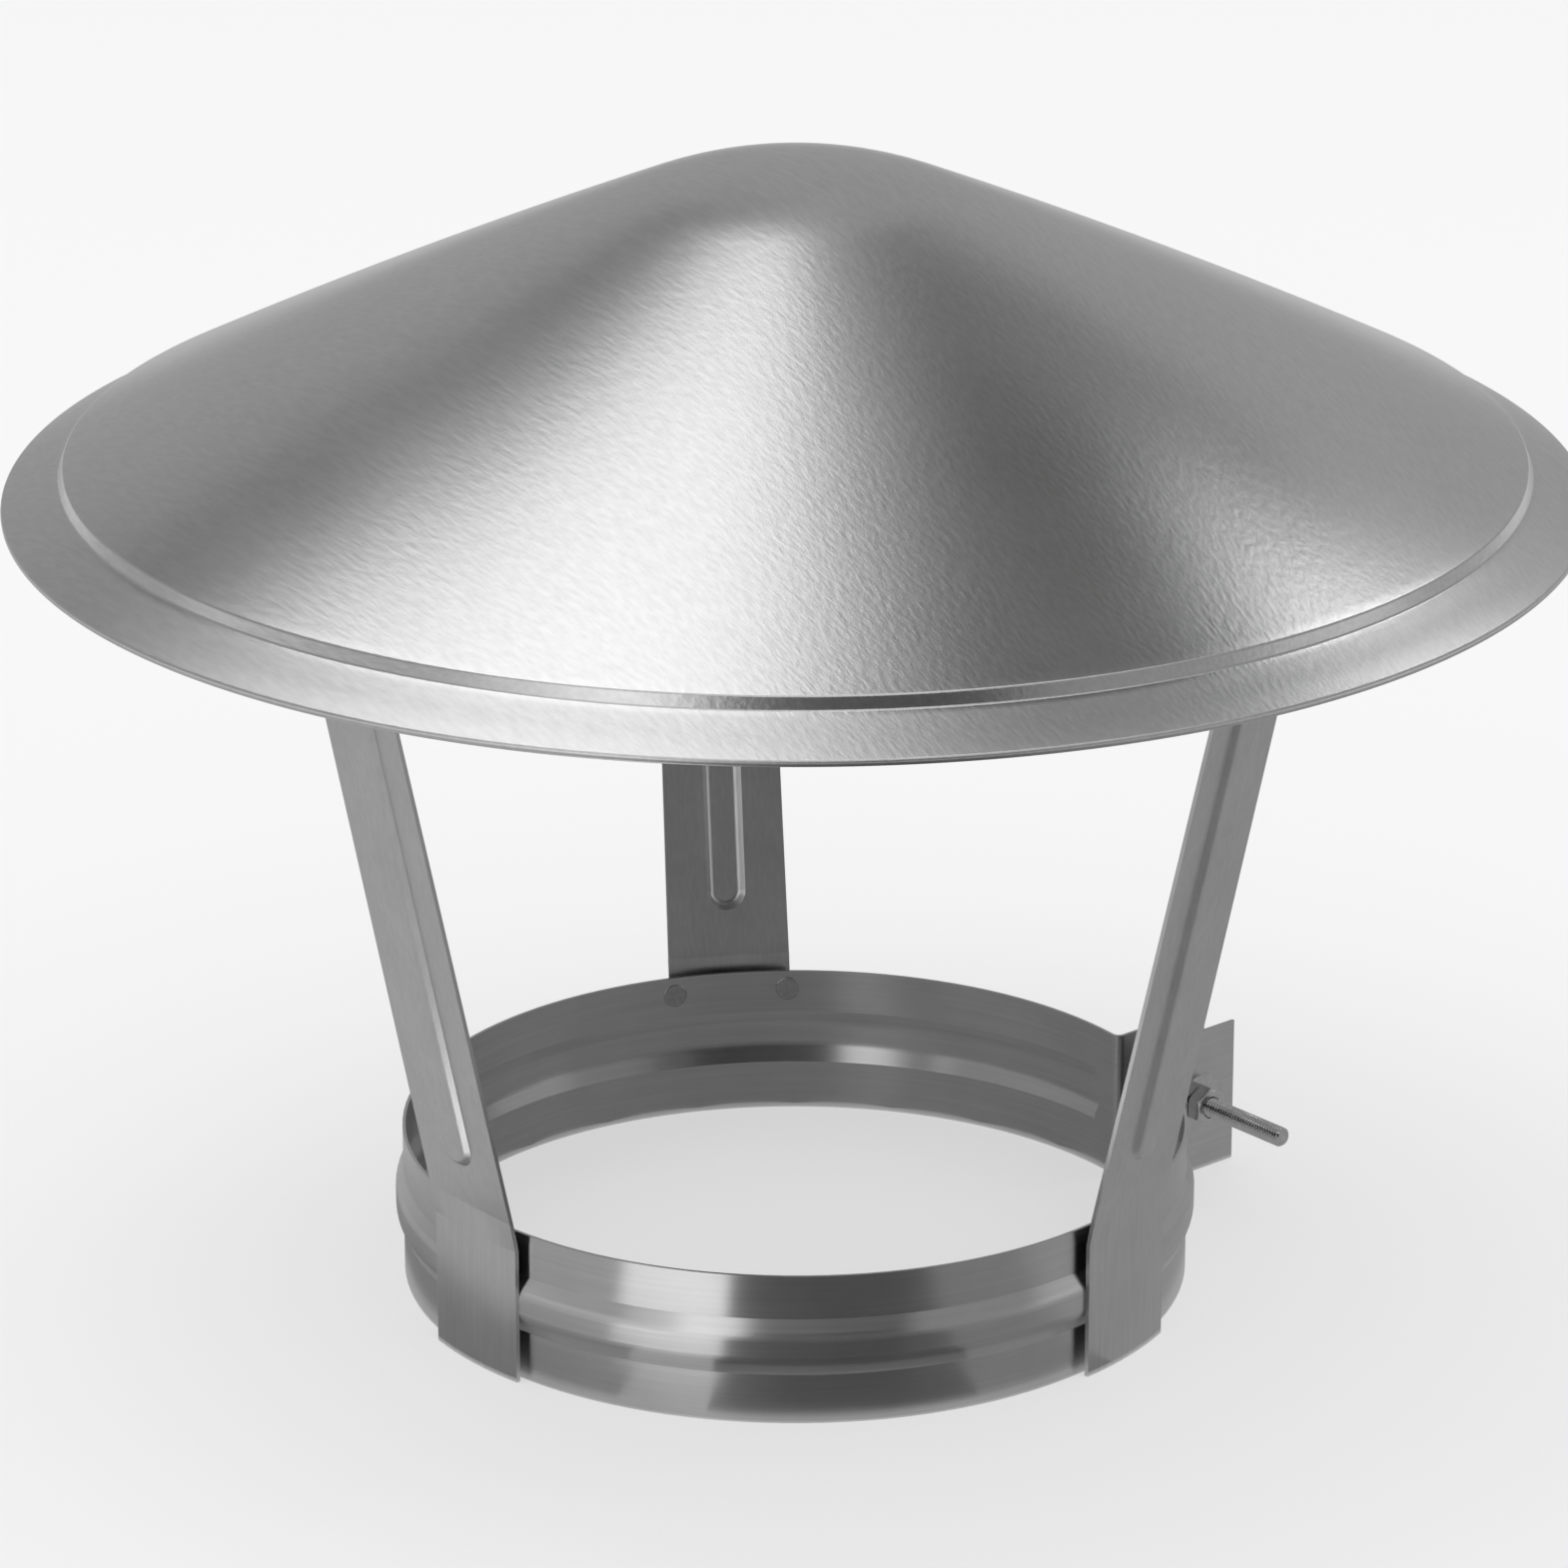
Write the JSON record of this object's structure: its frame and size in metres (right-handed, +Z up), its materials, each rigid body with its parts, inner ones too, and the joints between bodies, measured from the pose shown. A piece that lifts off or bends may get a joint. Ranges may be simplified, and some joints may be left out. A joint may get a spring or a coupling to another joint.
{
  "type": "chimney rain cap",
  "caption": "Sheet steel rain cap for a round flue: a stepped cone on three ribbed strap legs, held on the pipe by a split clamp band with a bolt through its ears.",
  "frame": {"origin": "centre of the clamp band's bottom edge, which is the bottom of the part", "axes": "+Z up along the flue's axis, towards the top of the cone; +Y towards the back leg"},
  "size_m": [0.3, 0.3, 0.2237],
  "materials": {
    "cap_steel": "cold rolled stainless sheet, softly mottled",
    "leg_steel": "cold rolled stainless strip, satin",
    "band_steel": "cold rolled stainless strip, semi bright",
    "fastener_steel": "bright stainless"
  },
  "bodies": {
    "cap_frame": {"cap_shell": "cap_steel", "leg_left": "leg_steel", "leg_right": "leg_steel", "leg_back": "leg_steel", "clamp_band": "band_steel"},
    "bolt": {"clamp_bolt": "fastener_steel", "head_washer": "fastener_steel"},
    "washer": {"nut_washer": "fastener_steel"},
    "nut": {"clamp_nut": "fastener_steel"}
  },
  "joints": [
    {"name": "bolt_turn", "type": "hinge", "parent": "cap_frame", "child": "bolt", "pos_m": [0.08472, 0.03247, 0.015], "axis": [0.515, -0.8572, 0], "continuous": true},
    {"name": "washer_slide", "type": "slide", "parent": "bolt", "child": "washer", "axis": [0.515, -0.8572, 0], "range_m": [0, 0.02]},
    {"name": "nut_turn", "type": "hinge", "parent": "washer", "child": "nut", "pos_m": [0.08472, 0.03247, 0.015], "axis": [0.515, -0.8572, 0], "range_deg": [0, 10290]}
  ],
  "couplings": [
    {"joint": "nut_turn", "follows": "washer_slide", "rad_per_m": 8976}
  ]
}
